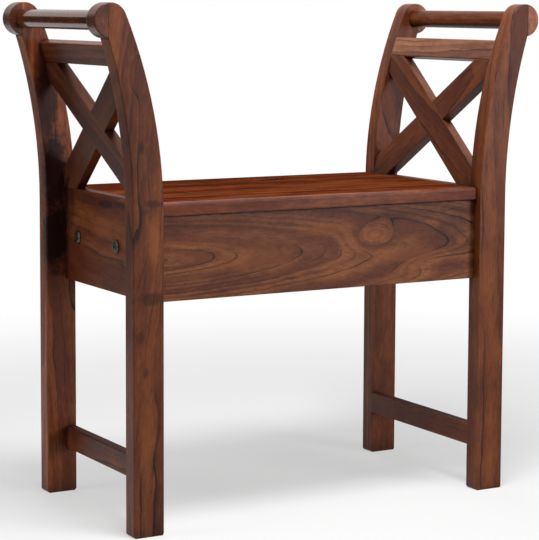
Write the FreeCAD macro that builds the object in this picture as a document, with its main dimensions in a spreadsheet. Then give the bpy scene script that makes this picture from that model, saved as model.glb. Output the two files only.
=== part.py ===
import FreeCAD, Part
import os
import Sketcher
from FreeCAD import Placement, Rotation, Vector

doc = FreeCAD.newDocument("SettleBench")

# Driving sizes of the bench, in millimetres
# X runs along the seat, Y from front to back and Z up; the origin is on the floor under the middle
sizes = doc.addObject("Spreadsheet::Sheet", "Sizes")
drivingSizes = {
    # end frames: four posts cut from plank, straight up to the seat and then swept outwards
    "innerSpan": 547,
    "frameDepth": 333,
    "overallHeight": 760,
    "seatHeight": 478,
    "postWidth": 48,
    "postThick": 27,
    "sweepDrop": 18,
    "innerSweep": 725,
    "scrollRadius": 25,
    "glueOffset": 4.4,
    "footChamfer": 3,
    "edgeBevel": 1.2,
    # round rail between the scrolls
    "roundRailDiameter": 28,
    "roundTenonDiameter": 18,
    "tenonLength": 15,
    "tenonShoulder": 4,
    # flat rail under it, set square to the sweep of the posts
    "flatRailHeight": 32,
    "flatRailThick": 16.5,
    "flatRailDrop": 86,
    # crossed slats
    "slatWidth": 44,
    "slatThick": 16.5,
    # stretchers near the floor
    "stretcherHeight": 34,
    "stretcherThick": 16.5,
    "stretcherFoot": 69,
    # end panels beside the seat box
    "panelDrop": 0.5,
    "panelHeight": 142.5,
    "panelThick": 15,
    "tongueThick": 7,
    "tongueDepth": 8,
    "tongueStop": 12,
    # seat box
    "apronThick": 15,
    "apronSetback": 16,
    "boxEndThick": 15,
    "bottomThick": 9,
    "cleatSize": 18,
    "cleatRaise": 2,
    # lid
    "lidThick": 19.5,
    "lidGap": 0.8,
    "lidSideGap": 2,
    "lidFrontOverhang": 8,
    "lidBackOverhang": 10,
    "lidRound": 5,
    "lidLowerBevel": 1.2,
    # butt hinges
    "hingeSpacing": 340,
    "hingeLength": 40,
    "leafReach": 13,
    "leafThick": 1.5,
    "knuckleRadius": 2.75,
    "knuckleStandoff": 0.2,
    "knuckleGap": 0.3,
    "knuckleRoom": 0.4,
    "pinRadius": 1.5,
    "pinClearance": 0.05,
    "screwSpacing": 24,
    "screwInset": 8,
    "screwHeadRadius": 2.7,
    "screwRadius": 1.4,
    "screwLength": 12,
    # bolts that hold the end frames to the seat box
    "boltBackward": 94,
    "boltForward": 41,
    "boltRise": 69,
    "boltRadius": 3,
    "boltHoleClearance": 0.2,
    "boltHeadRadius": 9.75,
    "boltHeadThick": 3,
    "boltHeadCrown": 1,
    "boltCrownInset": 1.5,
    "socketRadius": 2.9,
    "socketDepth": 2.5,
    "washerRadius": 8,
    "washerThick": 1.5,
    "nutRadius": 5.8,
    "nutThick": 5,
    "boltTail": 3,
}
for row, (name, value) in enumerate(drivingSizes.items(), 1):
    sizes.set(f"A{row}", name)
    sizes.set(f"B{row}", str(value))
    sizes.setAlias(f"B{row}", name)

# Sizes worked out from the driving ones
worked = doc.addObject("Spreadsheet::Sheet", "Worked")
workedSizes = {
    "halfSpan": "Sizes.innerSpan / 2",
    "halfDepth": "Sizes.frameDepth / 2",
    "innerDepth": "Sizes.frameDepth - 2 * Sizes.postThick",
    "outerX": "halfSpan + Sizes.postWidth",
    "panelTop": "Sizes.seatHeight - Sizes.panelDrop",
    "panelFoot": "panelTop - Sizes.panelHeight",
    # the scroll touches the inner sweep from inside, and its glue line runs up from the neck,
    # where the outer sweep ends
    "curveStart": "Sizes.seatHeight - Sizes.sweepDrop",
    "scrollZ": "Sizes.overallHeight - Sizes.scrollRadius",
    "innerCentreX": "halfSpan + Sizes.innerSweep",
    "scrollX": "innerCentreX - sqrt((Sizes.innerSweep - Sizes.scrollRadius) ^ 2"
               " - (scrollZ - curveStart) ^ 2)",
    "glueX": "scrollX + Sizes.glueOffset",
    "glueHalf": "sqrt(Sizes.scrollRadius ^ 2 - Sizes.glueOffset ^ 2)",
    "neckOut": "glueX - outerX",
    "neckRise": "scrollZ - glueHalf - curveStart",
    "outerSweep": "(neckOut ^ 2 + neckRise ^ 2) / (2 * neckOut)",
    "outerCentreX": "outerX + outerSweep",
    # the flat rail's inner face is a chord of the inner sweep
    "flatRailFoot": "Sizes.overallHeight - Sizes.flatRailDrop",
    "railFootX": "innerCentreX - sqrt(Sizes.innerSweep ^ 2 - (flatRailFoot - curveStart) ^ 2)",
    "railLean": "asin((flatRailFoot - curveStart) / Sizes.innerSweep)"
                " + asin(Sizes.flatRailHeight / (2 * Sizes.innerSweep))",
    # the crossed slats fill the leaning opening between end panel, posts and flat rail
    "braceRise": "flatRailFoot - panelTop",
    "braceRun": "railFootX - halfSpan",
    "braceLean": "atan(braceRun / braceRise)",
    "braceHeight": "sqrt(braceRise ^ 2 + braceRun ^ 2)",
    "braceAngle": "atan(braceHeight / innerDepth)",
    "lapReach": "Sizes.slatWidth / sin(2 * braceAngle)",
    # seat box, lid and hinge line
    "apronFace": "halfDepth - Sizes.apronSetback",
    "lidFoot": "Sizes.seatHeight - Sizes.lidThick",
    "apronTop": "lidFoot - Sizes.lidGap",
    "apronHeight": "apronTop - panelFoot",
    "boxInnerHalfDepth": "apronFace - Sizes.apronThick",
    "boxInnerHalfSpan": "halfSpan - Sizes.boxEndThick",
    "boltHeight": "panelFoot + Sizes.boltRise",
    "hingeY": "apronFace + Sizes.knuckleRadius + Sizes.knuckleStandoff",
    "hingeZ": "apronTop + Sizes.lidGap / 2",
}
for row, (name, formula) in enumerate(workedSizes.items(), 1):
    worked.set(f"A{row}", name)
    worked.set(f"B{row}", "=" + formula)
    worked.setAlias(f"B{row}", name)
doc.recompute()

subParts = []


def amount(expression):
    result = doc.Worked.evalExpression(expression)
    return float(getattr(result, "Value", result))


def keep(part, label):
    part.Label = label
    subParts.append(part)
    return part


def putAt(part, x=None, y=None, z=None):
    for axis, expression in (("x", x), ("y", y), ("z", z)):
        if expression is not None:
            part.setExpression(f"Placement.Base.{axis}", expression)


def newBody(label, x=None, y=None, z=None):
    body = doc.addObject("PartDesign::Body", label.title().replace("_", ""))
    keep(body, label)
    putAt(body, x, y, z)
    return body


def sketchOn(body, role, name, offset=None):
    plane = next(feature for feature in body.Origin.OriginFeatures if feature.Role == role)
    sketch = body.newObject("Sketcher::SketchObject", name)
    sketch.AttachmentSupport = [(plane, "")]
    sketch.MapMode = "FlatFace"
    if offset is not None:
        sketch.setExpression("AttachmentOffset.Base.z", offset)
    return sketch


def dimension(sketch, kind, *where):
    *place, expression = where
    index = sketch.addConstraint(Sketcher.Constraint(kind, *place, amount(expression)))
    name = f"size{index}"
    sketch.renameConstraint(index, name)
    sketch.setExpression(f"Constraints.{name}", expression)


def joinEnds(sketch, pairs):
    for first, firstEnd, second, secondEnd in pairs:
        sketch.addConstraint(Sketcher.Constraint("Coincident", first, firstEnd, second, secondEnd))


def addRectangle(sketch, left, bottom, right, top):
    xs = amount(left), amount(right)
    ys = amount(bottom), amount(top)
    corners = [Vector(xs[side], ys[level], 0) for side, level in ((0, 0), (1, 0), (1, 1), (0, 1))]
    base = sketch.GeometryCount
    for index in range(4):
        sketch.addGeometry(Part.LineSegment(corners[index], corners[(index + 1) % 4]), False)
    joinEnds(sketch, [(base + index, 2, base + (index + 1) % 4, 1) for index in range(4)])
    for line in (base, base + 2):
        sketch.addConstraint(Sketcher.Constraint("Horizontal", line))
    for line in (base + 1, base + 3):
        sketch.addConstraint(Sketcher.Constraint("Vertical", line))
    dimension(sketch, "DistanceX", base, 1, left)
    dimension(sketch, "DistanceY", base, 1, bottom)
    dimension(sketch, "DistanceX", base + 2, 1, right)
    dimension(sketch, "DistanceY", base + 2, 1, top)


def addCircle(sketch, x, y, radius):
    centre = Vector(amount(x), amount(y), 0)
    index = sketch.addGeometry(Part.Circle(centre, Vector(0, 0, 1), amount(radius)), False)
    dimension(sketch, "DistanceX", index, 3, x)
    dimension(sketch, "DistanceY", index, 3, y)
    dimension(sketch, "Radius", index, radius)


def addPolygon(sketch, corners):
    # corners are pairs of expressions, and every corner is held by both of its distances
    points = [Vector(amount(x), amount(y), 0) for x, y in corners]
    base = sketch.GeometryCount
    count = len(points)
    for index in range(count):
        sketch.addGeometry(Part.LineSegment(points[index], points[(index + 1) % count]), False)
    joinEnds(sketch, [(base + index, 2, base + (index + 1) % count, 1) for index in range(count)])
    for index, (x, y) in enumerate(corners):
        dimension(sketch, "DistanceX", base + index, 1, x)
        dimension(sketch, "DistanceY", base + index, 1, y)


def pad(body, sketch, length, name, backwards=False, midplane=False):
    feature = body.newObject("PartDesign::Pad", name)
    feature.Profile = sketch
    feature.Reversed = backwards
    feature.Midplane = midplane
    feature.setExpression("Length", length)
    doc.recompute()
    return feature


def pocket(body, sketch, length, name, backwards=False, throughAll=False):
    before = body.Shape.Volume
    feature = body.newObject("PartDesign::Pocket", name)
    feature.Profile = sketch
    feature.Reversed = backwards
    if throughAll:
        feature.Type = "ThroughAll"
        feature.Midplane = True
    else:
        feature.setExpression("Length", length)
    doc.recompute()
    if not body.Shape.Volume < before - 1e-3:
        raise RuntimeError(f"{body.Label}: {name} cuts nothing")
    return feature


def treatEdges(body, kind, size, name, wanted):
    # wanted picks edges by their geometry, so that the choice survives a change of size
    base = body.Tip
    names = [f"Edge{index}" for index, edge in enumerate(base.Shape.Edges, 1) if wanted(edge)]
    if not names:
        raise RuntimeError(f"{body.Label}: {name} finds no edge")
    feature = body.newObject(f"PartDesign::{kind}", name)
    feature.Base = (base, names)
    feature.setExpression("Radius" if kind == "Fillet" else "Size", size)
    doc.recompute()
    return feature


def mirrored(source, label, normal):
    copy = doc.addObject("Part::Mirroring", label.title().replace("_", ""))
    copy.Source = source
    copy.Normal = normal
    return keep(copy, label)


def liesAt(edge, level):
    # true for an edge that lies all along in the upright plane y = level
    return abs(edge.BoundBox.YMin - level) < closeEnough and abs(edge.BoundBox.YMax - level) < closeEnough


acrossX = Vector(1, 0, 0)
acrossY = Vector(0, 1, 0)
closeEnough = 0.01


# Post: profile in the X-Z plane, padded forwards from its inner face
def postProfile(sketch):
    halfSpan, outerX, start = amount("halfSpan"), amount("outerX"), amount("curveStart")
    foot = amount("Sizes.footChamfer")
    scroll = Vector(amount("scrollX"), amount("scrollZ"), 0)
    glueX, glueHalf = amount("glueX"), amount("glueHalf")
    innerCentre = Vector(amount("innerCentreX"), start, 0)
    outerCentre = Vector(amount("outerCentreX"), start, 0)
    neck = Vector(glueX, scroll.y - glueHalf, 0)
    crown = Vector(glueX, scroll.y + glueHalf, 0)
    touch = scroll + (scroll - innerCentre).normalize() * amount("Sizes.scrollRadius")
    outerStart = Vector(outerX, start, 0)
    innerStart = Vector(halfSpan, start, 0)
    footCorners = [Vector(halfSpan + foot, 0, 0), Vector(outerX - foot, 0, 0),
                   Vector(outerX, foot, 0), Vector(halfSpan, foot, 0)]

    def arc(centre, first, last):
        circle = Part.Circle(centre, Vector(0, 0, 1), (first - centre).Length)
        angles = [Vector(1, 0, 0).getAngle(point - centre) for point in (first, last)]
        return Part.ArcOfCircle(circle, *angles)

    sketch.addGeometry([
        Part.LineSegment(footCorners[0], footCorners[1]),
        Part.LineSegment(footCorners[1], footCorners[2]),
        Part.LineSegment(footCorners[2], outerStart),
        arc(outerCentre, neck, outerStart),
        Part.LineSegment(neck, crown),
        arc(scroll, crown, touch),
        arc(innerCentre, touch, innerStart),
        Part.LineSegment(innerStart, footCorners[3]),
        Part.LineSegment(footCorners[3], footCorners[0]),
    ], False)
    joinEnds(sketch, [(0, 2, 1, 1), (1, 2, 2, 1), (3, 1, 4, 1), (4, 2, 5, 1), (7, 2, 8, 1), (8, 2, 0, 1)])
    for first, firstEnd, second, secondEnd in ((2, 2, 3, 2), (5, 2, 6, 1), (6, 2, 7, 1)):
        sketch.addConstraint(Sketcher.Constraint("Tangent", first, firstEnd, second, secondEnd))
    sketch.addConstraint(Sketcher.Constraint("Horizontal", 0))
    for line in (2, 4, 7):
        sketch.addConstraint(Sketcher.Constraint("Vertical", line))
    sketch.addConstraint(Sketcher.Constraint("PointOnObject", 0, 1, -1))
    sketch.addConstraint(Sketcher.Constraint("PointOnObject", 4, 1, 5))
    dimension(sketch, "DistanceX", 0, 1, "Worked.halfSpan + Sizes.footChamfer")
    dimension(sketch, "DistanceX", 0, 2, "Worked.outerX - Sizes.footChamfer")
    dimension(sketch, "DistanceX", 2, 1, "Worked.outerX")
    dimension(sketch, "DistanceY", 2, 1, "Sizes.footChamfer")
    dimension(sketch, "DistanceY", 2, 2, "Worked.curveStart")
    dimension(sketch, "Radius", 3, "Worked.outerSweep")
    dimension(sketch, "Radius", 5, "Sizes.scrollRadius")
    dimension(sketch, "DistanceY", 5, 3, "Worked.scrollZ")
    dimension(sketch, "Radius", 6, "Sizes.innerSweep")
    dimension(sketch, "DistanceX", 7, 1, "Worked.halfSpan")
    dimension(sketch, "DistanceY", 7, 1, "Worked.curveStart")
    dimension(sketch, "DistanceY", 7, 2, "Sizes.footChamfer")


def leaningCorners(x, z, lean, left, bottom, right, top):
    # corners of a rectangle whose upright side leans outwards from the point x, z
    return [(f"{x} + ({across}) * cos({lean}) + ({along}) * sin({lean})",
             f"{z} - ({across}) * sin({lean}) + ({along}) * cos({lean})")
            for across, along in ((left, bottom), (right, bottom), (right, top), (left, top))]


def makePost():
    post = newBody("post_front_right", y="-Worked.innerDepth / 2")
    profile = sketchOn(post, "XZ_Plane", "PostProfile")
    postProfile(profile)
    pad(post, profile, "Sizes.postThick", "PostPlank")
    thick, foot = amount("Sizes.postThick"), amount("Sizes.footChamfer")
    outerX, scrollZ = amount("outerX"), amount("scrollZ")
    glueX = amount("glueX")

    def free(edge):
        # the long edges of the front face, and the outer one of the face towards the rails
        middle = edge.valueAt((edge.FirstParameter + edge.LastParameter) / 2)
        upright = middle.z > foot and abs(middle.x - glueX) > closeEnough
        outer = liesAt(edge, 0) and middle.x > outerX - closeEnough and middle.z < scrollZ
        return upright and (liesAt(edge, -thick) or outer)

    treatEdges(post, "Chamfer", "Sizes.edgeBevel", "EasedEdges", free)

    mortise = sketchOn(post, "XZ_Plane", "StretcherMortise")
    addRectangle(mortise, "Worked.halfSpan + Sizes.tenonShoulder",
                 "Sizes.stretcherFoot + Sizes.tenonShoulder",
                 "Worked.halfSpan + Sizes.stretcherThick - Sizes.tenonShoulder",
                 "Sizes.stretcherFoot + Sizes.stretcherHeight - Sizes.tenonShoulder")
    pocket(post, mortise, "Sizes.tenonLength", "StretcherSocket", backwards=True)

    groove = sketchOn(post, "XZ_Plane", "PanelGroove")
    addRectangle(groove, "Worked.halfSpan + (Sizes.panelThick - Sizes.tongueThick) / 2",
                 "Worked.panelFoot + Sizes.tongueStop",
                 "Worked.halfSpan + (Sizes.panelThick + Sizes.tongueThick) / 2",
                 "Worked.panelTop - Sizes.tongueStop")
    pocket(post, groove, "Sizes.tongueDepth", "PanelSlot", backwards=True)

    railMortise = sketchOn(post, "XZ_Plane", "FlatRailMortise")
    addPolygon(railMortise, leaningCorners(
        "Worked.railFootX", "Worked.flatRailFoot", "Worked.railLean",
        "Sizes.tenonShoulder", "Sizes.tenonShoulder",
        "Sizes.flatRailThick - Sizes.tenonShoulder", "Sizes.flatRailHeight - Sizes.tenonShoulder"))
    pocket(post, railMortise, "Sizes.tenonLength", "FlatRailSocket", backwards=True)

    bore = sketchOn(post, "XZ_Plane", "RoundRailBore")
    addCircle(bore, "Worked.scrollX", "Worked.scrollZ", "Sizes.roundTenonDiameter / 2")
    pocket(post, bore, "Sizes.tenonLength", "RoundRailSocket", backwards=True)
    return post


post = makePost()
postBack = mirrored(post, "post_back_right", acrossY)
mirrored(post, "post_front_left", acrossX)
mirrored(postBack, "post_back_left", acrossX)


# Scroll cheek: the block glued to the outer side of each post head
def makeCheek():
    cheek = newBody("scroll_cheek_front_right", y="-Worked.innerDepth / 2")
    profile = sketchOn(cheek, "XZ_Plane", "CheekProfile")
    centre = Vector(amount("scrollX"), amount("scrollZ"), 0)
    across, up = amount("glueX") - centre.x, amount("glueHalf")
    neck = centre + Vector(across, -up, 0)
    crown = centre + Vector(across, up, 0)
    circle = Part.Circle(centre, Vector(0, 0, 1), amount("Sizes.scrollRadius"))
    edge = Vector(1, 0, 0).getAngle(crown - centre)
    profile.addGeometry([Part.ArcOfCircle(circle, -edge, edge), Part.LineSegment(crown, neck)], False)
    joinEnds(profile, [(0, 2, 1, 1), (1, 2, 0, 1)])
    profile.addConstraint(Sketcher.Constraint("Vertical", 1))
    dimension(profile, "Radius", 0, "Sizes.scrollRadius")
    dimension(profile, "DistanceX", 0, 3, "Worked.scrollX")
    dimension(profile, "DistanceY", 0, 3, "Worked.scrollZ")
    dimension(profile, "DistanceX", 1, 1, "Worked.glueX")
    pad(cheek, profile, "Sizes.postThick", "CheekBlock")
    thick = amount("Sizes.postThick")
    treatEdges(cheek, "Chamfer", "Sizes.edgeBevel", "EasedEdge",
               lambda edge: liesAt(edge, -thick) and isinstance(edge.Curve, Part.Circle))
    bore = sketchOn(cheek, "XZ_Plane", "CheekBore")
    addCircle(bore, "Worked.scrollX", "Worked.scrollZ", "Sizes.roundTenonDiameter / 2")
    pocket(cheek, bore, "Sizes.tenonLength", "CheekSocket", backwards=True)
    return cheek


cheek = makeCheek()
cheekBack = mirrored(cheek, "scroll_cheek_back_right", acrossY)
mirrored(cheek, "scroll_cheek_front_left", acrossX)
mirrored(cheekBack, "scroll_cheek_back_left", acrossX)


# Round rail: turned along Y, with a round tenon at each end
def makeRoundRail():
    rail = newBody("round_rail_right", x="Worked.scrollX", z="Worked.scrollZ")
    profile = sketchOn(rail, "XY_Plane", "RoundRailProfile")
    halfLength = "Worked.innerDepth / 2"
    tip = f"{halfLength} + Sizes.tenonLength"
    radius, tenon = "Sizes.roundRailDiameter / 2", "Sizes.roundTenonDiameter / 2"
    upperCorners = [(radius, halfLength), (tenon, halfLength), (tenon, tip), ("0", tip)]
    lowerCorners = [(x, f"-({y})") for x, y in reversed(upperCorners)]
    addPolygon(profile, lowerCorners + upperCorners)
    turned = rail.newObject("PartDesign::Revolution", "TurnedRail")
    turned.Profile = profile
    turned.ReferenceAxis = (profile, ["V_Axis"])
    turned.Angle = 360
    doc.recompute()
    return rail


roundRail = makeRoundRail()
mirrored(roundRail, "round_rail_left", acrossX)


# A board along Y between two posts, with a shouldered tenon at each end
def makeTenonedBoard(label, thick, height, shoulder, tenon, eased=True, **place):
    board = newBody(label, **place)
    section = sketchOn(board, "XZ_Plane", "BoardSection")
    addRectangle(section, "0", "0", thick, height)
    pad(board, section, "Worked.innerDepth", "Board", midplane=True)
    if eased:
        depth = amount("innerDepth")
        treatEdges(board, "Chamfer", "Sizes.edgeBevel", "EasedEdges",
                   lambda edge: abs(edge.Length - depth) < closeEnough)
    ends = sketchOn(board, "XZ_Plane", "TenonSection")
    addRectangle(ends, *shoulder)
    pad(board, ends, f"Worked.innerDepth + 2 * {tenon}", "Tenons", midplane=True)
    return board


stretcher = makeTenonedBoard(
    "stretcher_right", "Sizes.stretcherThick", "Sizes.stretcherHeight",
    ("Sizes.tenonShoulder", "Sizes.tenonShoulder", "Sizes.stretcherThick - Sizes.tenonShoulder",
     "Sizes.stretcherHeight - Sizes.tenonShoulder"),
    "Sizes.tenonLength", x="Worked.halfSpan", z="Sizes.stretcherFoot")
mirrored(stretcher, "stretcher_left", acrossX)

flatRail = makeTenonedBoard(
    "upper_rail_right", "Sizes.flatRailThick", "Sizes.flatRailHeight",
    ("Sizes.tenonShoulder", "Sizes.tenonShoulder", "Sizes.flatRailThick - Sizes.tenonShoulder",
     "Sizes.flatRailHeight - Sizes.tenonShoulder"),
    "Sizes.tenonLength", x="Worked.railFootX", z="Worked.flatRailFoot")
flatRail.Placement.Rotation = Rotation(Vector(0, 1, 0), amount("railLean"))
flatRail.setExpression("Placement.Rotation.Angle", "Worked.railLean")
mirrored(flatRail, "upper_rail_left", acrossX)

panel = makeTenonedBoard(
    "side_panel_right", "Sizes.panelThick", "Sizes.panelHeight",
    ("(Sizes.panelThick - Sizes.tongueThick) / 2", "Sizes.tongueStop",
     "(Sizes.panelThick + Sizes.tongueThick) / 2", "Sizes.panelHeight - Sizes.tongueStop"),
    "Sizes.tongueDepth", eased=False, x="Worked.halfSpan", z="Worked.panelFoot")
panelHoles = sketchOn(panel, "YZ_Plane", "PanelBoltHoles")
boltPlaces = ("Sizes.boltBackward", "-Sizes.boltForward")
for place in boltPlaces:
    addCircle(panelHoles, place, "Worked.boltHeight - Worked.panelFoot",
              "Sizes.boltRadius + Sizes.boltHoleClearance")
pocket(panel, panelHoles, None, "BoltHoles", throughAll=True)
mirrored(panel, "side_panel_left", acrossX)


# Crossed slat, drawn in its own leaning plane: X is the thickness, Y the depth of the bench, Z up the slope
def makeSlat(label, rising, lapOutside):
    slat = newBody(label, x="Worked.halfSpan", z="Worked.panelTop")
    slat.Placement.Rotation = Rotation(Vector(0, 1, 0), amount("braceLean"))
    slat.setExpression("Placement.Rotation.Angle", "Worked.braceLean")
    band = sketchOn(slat, "YZ_Plane", "SlatOutline")
    turn = "" if rising else "-"
    half = "Worked.innerDepth / 2"
    up = "Worked.braceHeight"
    sideways = "Sizes.slatWidth / (2 * sin(Worked.braceAngle))"
    upwards = "Sizes.slatWidth / (2 * cos(Worked.braceAngle))"
    addPolygon(band, [(f"{turn}(-{half})", "0"), (f"{turn}({sideways} - {half})", "0"),
                      (f"{turn}({half})", f"{up} - {upwards}"), (f"{turn}({half})", up),
                      (f"{turn}({half} - {sideways})", up), (f"{turn}(-{half})", upwards)])
    pad(slat, band, "Sizes.slatThick", "SlatBoard")

    # ends bevelled to sit flat on the end panel and under the leaning rail
    bevels = sketchOn(slat, "XZ_Plane", "EndBevels")
    lower = "Sizes.slatThick * tan(Worked.braceLean)"
    upper = "Sizes.slatThick * tan(Worked.railLean - Worked.braceLean)"
    addPolygon(bevels, [("0", "0"), ("Sizes.slatThick", "0"), ("Sizes.slatThick", lower)])
    addPolygon(bevels, [("0", up), ("Sizes.slatThick", f"{up} - {upper}"), ("Sizes.slatThick", up)])
    pocket(slat, bevels, None, "Bevels", throughAll=True)

    # half the thickness is cut away where the other slat crosses
    lap = sketchOn(slat, "YZ_Plane", "LapOutline", "Sizes.slatThick / 2" if lapOutside else None)
    side = "Sizes.slatWidth / 2"
    reach = "Worked.lapReach"
    cosine, sine = "cos(Worked.braceAngle)", "sin(Worked.braceAngle)"
    other = "-" if rising else ""
    corners = []
    for along, across in ((-1, -1), (1, -1), (1, 1), (-1, 1)):
        corners.append((f"{other}({along} * {reach} * {cosine} - {across} * {side} * {sine})",
                        f"{up} / 2 + {along} * {reach} * {sine} + {across} * {side} * {cosine}"))
    addPolygon(lap, corners)
    pocket(slat, lap, "Sizes.slatThick / 2", "Lap", backwards=True)
    return slat


slatRising = makeSlat("slat_rising_back_right", rising=True, lapOutside=True)
slatFalling = makeSlat("slat_rising_front_right", rising=False, lapOutside=False)


# The left pair is the right pair turned half round about the upright axis
def turned(source, label):
    copy = doc.addObject("Part::Mirroring", "Turned" + label.title().replace("_", ""))
    copy.Source = source
    copy.Normal = acrossY
    return mirrored(copy, label, acrossX)


turned(slatRising, "slat_rising_front_left")
turned(slatFalling, "slat_rising_back_left")


# Seat box boards
def makeBoard(label, lengthX, depthY, heightZ, x, y, z):
    board = newBody(label, x=x, y=y, z=z)
    outline = sketchOn(board, "XY_Plane", "BoardOutline")
    addRectangle(outline, f"-({lengthX}) / 2", f"-({depthY}) / 2", f"({lengthX}) / 2", f"({depthY}) / 2")
    pad(board, outline, heightZ, "Board")
    return board


apronMiddle = "Worked.apronFace - Sizes.apronThick / 2"
makeBoard("front_apron", "Sizes.innerSpan", "Sizes.apronThick", "Worked.apronHeight",
          None, f"-({apronMiddle})", "Worked.panelFoot")
backApron = makeBoard("back_apron", "Sizes.innerSpan", "Sizes.apronThick", "Worked.apronHeight",
                      None, apronMiddle, "Worked.panelFoot")

boxEnd = makeBoard("box_end_right", "Sizes.boxEndThick", "2 * Worked.boxInnerHalfDepth",
                   "Worked.apronHeight", "Worked.halfSpan - Sizes.boxEndThick / 2", None, "Worked.panelFoot")
boxEndHoles = sketchOn(boxEnd, "YZ_Plane", "BoxEndBoltHoles")
for place in boltPlaces:
    addCircle(boxEndHoles, place, "Worked.boltHeight - Worked.panelFoot",
              "Sizes.boltRadius + Sizes.boltHoleClearance")
pocket(boxEnd, boxEndHoles, None, "BoltHoles", throughAll=True)
mirrored(boxEnd, "box_end_left", acrossX)

cleatY = "Worked.boxInnerHalfDepth - Sizes.cleatSize / 2"
cleatZ = "Worked.panelFoot + Sizes.cleatRaise"
for label, y in (("bottom_cleat_front", f"-({cleatY})"), ("bottom_cleat_back", cleatY)):
    makeBoard(label, "2 * Worked.boxInnerHalfSpan", "Sizes.cleatSize", "Sizes.cleatSize", None, y, cleatZ)
makeBoard("box_bottom", "2 * Worked.boxInnerHalfSpan", "2 * Worked.boxInnerHalfDepth",
          "Sizes.bottomThick", None, None, f"{cleatZ} + Sizes.cleatSize")

# Lid, with its origin on the hinge line
lid = newBody("lid", y="Worked.hingeY", z="Worked.hingeZ")
lidOutline = sketchOn(lid, "XY_Plane", "LidOutline", "Sizes.lidGap / 2")
lidHalf = "Worked.halfSpan - Sizes.lidSideGap"
addRectangle(lidOutline, f"-({lidHalf})", "-(Worked.apronFace + Sizes.lidFrontOverhang + Worked.hingeY)",
             lidHalf, "Worked.apronFace + Sizes.lidBackOverhang - Worked.hingeY")
pad(lid, lidOutline, "Sizes.lidThick", "LidBoard")
lidRise = amount("Sizes.lidGap / 2")
lidCrown = lidRise + amount("Sizes.lidThick")
treatEdges(lid, "Fillet", "Sizes.lidRound", "LidRound",
           lambda edge: edge.BoundBox.ZMin > lidCrown - closeEnough)
treatEdges(lid, "Chamfer", "Sizes.lidLowerBevel", "LidLowerBevel",
           lambda edge: edge.BoundBox.ZMax < lidRise + closeEnough)


def hingePlaces():
    return ("-Sizes.hingeSpacing / 2", "Sizes.hingeSpacing / 2")


def screwPlaces(hinge):
    return f"{hinge} - Sizes.screwSpacing / 2", f"{hinge} + Sizes.screwSpacing / 2"


# Gains for the hinges: leaf recesses, knuckle room in the lid, and pilot holes for the screws
room = "Sizes.knuckleRadius + Sizes.knuckleRoom"
roomBeside = "Sizes.hingeLength / 2 + Sizes.knuckleRoom"
lidLeaf = sketchOn(lid, "XY_Plane", "LeafRecess", "Sizes.lidGap / 2")
lidRoom = sketchOn(lid, "XY_Plane", "KnuckleRecess", "Sizes.lidGap / 2")
lidPilot = sketchOn(lid, "XY_Plane", "PilotHoles", "Sizes.lidGap / 2")
for hinge in hingePlaces():
    addRectangle(lidLeaf, f"{hinge} - Sizes.hingeLength / 2", "-Sizes.leafReach",
                 f"{hinge} + Sizes.hingeLength / 2", f"-({room})")
    addRectangle(lidRoom, f"{hinge} - ({roomBeside})", f"-({room})", f"{hinge} + {roomBeside}", room)
    for screw in screwPlaces(hinge):
        addCircle(lidPilot, screw, "-Sizes.screwInset", "Sizes.screwRadius")
pocket(lid, lidLeaf, "Sizes.leafThick", "LeafGain", backwards=True)
pocket(lid, lidRoom, f"{room} - Sizes.lidGap / 2", "KnuckleGain", backwards=True)
pocket(lid, lidPilot, "Sizes.screwLength", "Pilots", backwards=True)

backFromMiddle = "Sizes.apronThick / 2"
apronLeaf = sketchOn(backApron, "XY_Plane", "LeafRecess", "Worked.apronHeight")
apronPilot = sketchOn(backApron, "XY_Plane", "PilotHoles", "Worked.apronHeight")
hingeFromApron = "Sizes.apronThick / 2 + Sizes.knuckleRadius + Sizes.knuckleStandoff"
for hinge in hingePlaces():
    addRectangle(apronLeaf, f"{hinge} - Sizes.hingeLength / 2", f"{hingeFromApron} - Sizes.leafReach",
                 f"{hinge} + Sizes.hingeLength / 2", backFromMiddle)
    for screw in screwPlaces(hinge):
        addCircle(apronPilot, screw, f"{hingeFromApron} - Sizes.screwInset", "Sizes.screwRadius")
pocket(backApron, apronLeaf, "Sizes.leafThick", "LeafGain")
pocket(backApron, apronPilot, "Sizes.screwLength", "Pilots")


# Helpers for turned and pressed metal, made from primitives at the hinge line
def primitive(kind, name, place, turn=None, **sizesOf):
    shape = doc.addObject(kind, name)
    for size, expression in sizesOf.items():
        shape.setExpression(size, expression)
    if turn is not None:
        shape.Placement = Placement(Vector(), Rotation(*turn))
    putAt(shape, *place)
    return shape


def fuse(name, parts):
    whole = doc.addObject("Part::MultiFuse", name)
    whole.Shapes = parts
    return whole


def cut(name, base, tool):
    rest = doc.addObject("Part::Cut", name)
    rest.Base = base
    rest.Tool = tool
    return rest


def group(label, parts):
    together = doc.addObject("Part::Compound", label.title().replace("_", ""))
    together.Links = parts
    return keep(together, label)


alongX = (Vector(0, 1, 0), 90)
thirdLength = "(Sizes.hingeLength - 2 * Sizes.knuckleGap) / 3"
screwLine = "Worked.hingeY - Sizes.screwInset"


def onHinge(x):
    return x, "Worked.hingeY", "Worked.hingeZ"


def headRadii(level):
    # the countersunk side of a screw faces the other leaf
    wide, narrow = "Sizes.screwHeadRadius", "Sizes.screwRadius"
    return (wide, narrow) if level > 0 else (narrow, wide)


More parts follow.
